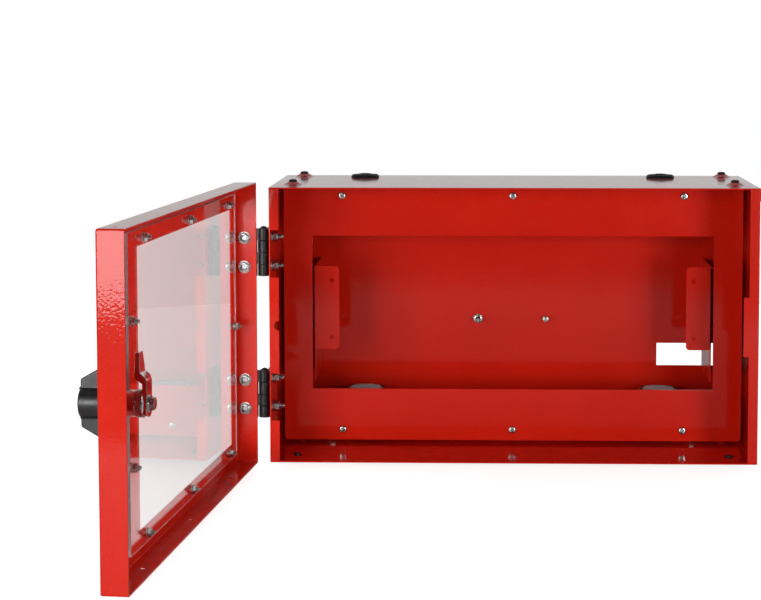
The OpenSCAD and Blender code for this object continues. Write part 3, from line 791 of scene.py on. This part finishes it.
def grommet(seat):
    """A blind rubber grommet with a stepped, slightly domed cap and a thin groove round its middle."""
    rim, under = seat.wide / 2, -2.6 * MM
    # Radius, height over the sheet's inner face, and fillet
    profile = [
        (0, 1.8, 0), (8, 1.8, 0.6), (10.5, -2.6, 0.3), (14.2, -2.6, 0.4), (14.6, 0, 0.2), (12.95, 0, 0.2),
        (12.95, 1.5, 0.2), (15.1, 1.5, 0.2), (15.28, 2.2, 0.5), (15.0, 3.3, 0.6), (13.6, 4.8, 0.7),
        (12.2, 4.9, 0.3), (11.9, 4.3, 0.2), (11.1, 4.3, 0.2), (10.8, 4.9, 0.3), (7.0, 4.9, 0.4),
        (5.8, 5.85, 0.5), (0, 5.9, 0),
    ]
    return lathe([(min(r * MM, rim), z * MM - under, fillet * MM) for r, z, fillet in profile], segments=72)


def corner_plug(seat):
    """A push-in plug with a barb and a rounded cap."""
    # Radius, height over the barb's end, and fillet
    profile = [
        (0, 0, 0), (2.4, 0, 0.3), (3.6, 2.4, 0.3), (3.15, 3.0, 0.1), (3.15, 6.0, 0.1), (4.3, 6.0, 0.2),
        (4.39, 6.7, 0.4), (4.2, 7.5, 0.5), (3.0, 8.5, 0.8), (1.4, 8.6, 0.3), (1.0, 8.3, 0.2), (0, 8.3, 0),
    ]
    return lathe([(r * MM, z * MM, fillet * MM) for r, z, fillet in profile])


def gland_nut(seat):
    """The gland's nut: a grip with shallow ribs all round, a smooth collar and a seat for the plug."""
    outer = seat.wide / 2
    grip = outer - 0.05 * MM
    thread_r, seat_r, seat_floor = 17.6 * MM, 19.85 * MM, 35 * MM
    top = seat.length
    rib_count, rib_depth = 24, 0.035
    fade_start, fade = 26 * MM, 1.5 * MM

    def ribs(angle, height):
        share = max(0.0, min(1.0, (fade_start - height) / fade))
        return 1 - rib_depth * share * (0.5 - 0.5 * math.cos(rib_count * angle)) ** 2

    return lathe([
        (thread_r, 0, 0.3 * MM), (outer - 0.8 * MM, 0, 0.3 * MM), (grip, 1.0 * MM, 0.6 * MM),
        (grip, 13 * MM), (grip, 24.4 * MM), (grip, 25.4 * MM, 0.5 * MM),
        (outer - 0.6 * MM, 26.2 * MM, 0.3 * MM), (outer - 0.5 * MM, top - 2.6 * MM, 1.2 * MM),
        (20.7 * MM, top, 0.4 * MM), (seat_r, top, 0.3 * MM), (seat_r, seat_floor, 0.2 * MM),
        (thread_r, seat_floor, 0.2 * MM),
    ], closed=True, segments=192, wave=ribs)


def gland_plug(seat):
    """The blanking plug: a stem with a disc head that carries parallel ribs."""
    head = 4.2 * MM
    foot = seat.length - head
    face = foot + 3.0 * MM
    rim = seat.wide / 2
    body = lathe([
        (0, 0), (12.2 * MM, 0, 0.4 * MM), (12.4 * MM, foot, 0.2 * MM), (rim - 0.3 * MM, foot, 0.2 * MM),
        (rim, foot + 0.8 * MM, 0.4 * MM), (rim, foot + 2.2 * MM, 0.4 * MM),
        (rim - 1.4 * MM, face, 0.3 * MM), (0, face),
    ], segments=72)
    rib_low, rib_high = foot + 2.8 * MM, foot + head - 0.05 * MM
    rib_step, rib_limit, shortest = 3.0 * MM, rim - 2.2 * MM, 3 * MM
    ribs = []
    for number in range(-5, 6):
        across = number * rib_step
        half = math.sqrt(max(rib_limit ** 2 - across ** 2, 0))
        if half < shortest:
            continue
        ribs.append(tapered_block(
            [(sx * half, across + sy * 1.0 * MM, rib_low) for sx, sy in CORNERS],
            [(sx * (half - 1.0 * MM), across + sy * 0.6 * MM, rib_high) for sx, sy in CORNERS],
        ))
    return joined(body, *ribs)


def stand(name, node, outward, shape):
    """One piece in place of a node: a copy of the shape at each of its solids."""
    whole = bmesh.new()
    model = None
    for seat in seats(node, outward):
        model = model or shape(seat)
        copy = model.copy()
        copy.transform(seat.matrix)
        whole.from_mesh(copy)
        bpy.data.meshes.remove(copy)
    mesh = bpy.data.meshes.new(name)
    whole.to_mesh(mesh)
    whole.free()
    mesh.materials.clear()
    mesh.materials.append(materials[slot_of[node]])
    for face in mesh.polygons:
        face.material_index = 0
    mesh.shade_smooth()
    mesh.set_sharp_from_angle(angle=SMOOTH_BELOW)
    piece = bpy.data.objects.new(name, mesh)
    bpy.context.scene.collection.objects.link(piece)
    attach(piece, body_of[node])
    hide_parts(node)


# ---- The fine pieces ----

def away_from_middle(centre):
    """Up on the cabinet's top, down on its underside."""
    return Z if centre.z > 0 else -Z


def thread(pitch):
    """The shape of a threaded stud."""
    return lambda seat: threaded_rod(seat.wide / 2, seat.length, pitch)


def nut(bore, countersink=0.25 * MM):
    """The shape of a hexagon nut."""
    return lambda seat: hex_nut(seat.narrow, seat.length, bore, countersink)


def washer(bore):
    """The shape of a washer."""
    return lambda seat: plain_washer(seat, bore + SLACK)


stand("bezel_screw_heads", "bezel_screws", -Y, lambda seat: pan_screw(seat.length, seat.wide / 2))
stand("bracket_thread", "bracket_studs", -Y, thread(M4_PITCH))
stand("bracket_hex_nuts", "bracket_nuts", -Y, nut(M4_R))
stand("earth_thread", "earth_stud", -Y, thread(M5_PITCH))
stand("earth_plate", "earth_washer", -Y, washer(M5_R))
stand("earth_hex_nut", "earth_nut", -Y, nut(M5_R))
stand("entry_grommets", "top_grommets", Z, grommet)
stand("corner_caps", "corner_plugs", away_from_middle, corner_plug)
stand("gland_grips", "floor_gland_nuts", Z, gland_nut)
stand("gland_blanks", "floor_gland_plugs", Z, gland_plug)
for side in ("box", "door"):
    stand(side + "_hinge_bolts", side + "_hinge_screws", -X, hinge_screw)
    stand(side + "_hinge_plates", side + "_hinge_washers", X, washer(M6_R))
    stand(side + "_hinge_hex_nuts", side + "_hinge_nuts", X, nut(M6_R, countersink=0.6 * MM))
stand("window_thread", "window_studs", Y, thread(M4_PITCH))
stand("window_plates", "window_washers", Y, washer(M4_R))
stand("window_hex_nuts", "window_nuts", Y, nut(M4_R))
stand("cam_plate", "cam_washer", Y, washer(M5_R))
stand("cam_hex_bolt", "cam_bolt", Y, hex_bolt)


def clear_window():
    """The pane with matt edges, a hair's breadth off the steel so that the two faces don't coincide."""
    node = "window_pane"
    mesh = nodes[node].data.copy()
    off_the_steel = Matrix.Translation(Y * 0.12 * MM)
    mesh.transform(DOOR @ off_the_steel @ DOOR.inverted())
    mesh.materials.append(materials["sawn_edge"])
    face_direction = (DOOR.to_3x3() @ Y).normalized()
    for face in mesh.polygons:
        if abs(face.normal.dot(face_direction)) < 0.5:
            face.material_index = len(mesh.materials) - 1
    pane = bpy.data.objects.new("clear_window", mesh)
    bpy.context.scene.collection.objects.link(pane)
    clean(pane)
    bevel = pane.modifiers.new("bevel", "BEVEL")
    bevel.width = 0.25 * MM
    bevel.segments = 2
    bevel.limit_method = "ANGLE"
    bevel.angle_limit = math.radians(40)
    shade(pane)
    pane.visible_shadow = False
    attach(pane, body_of[node])
    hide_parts(node)


clear_window()


bpy.context.view_layer.update()
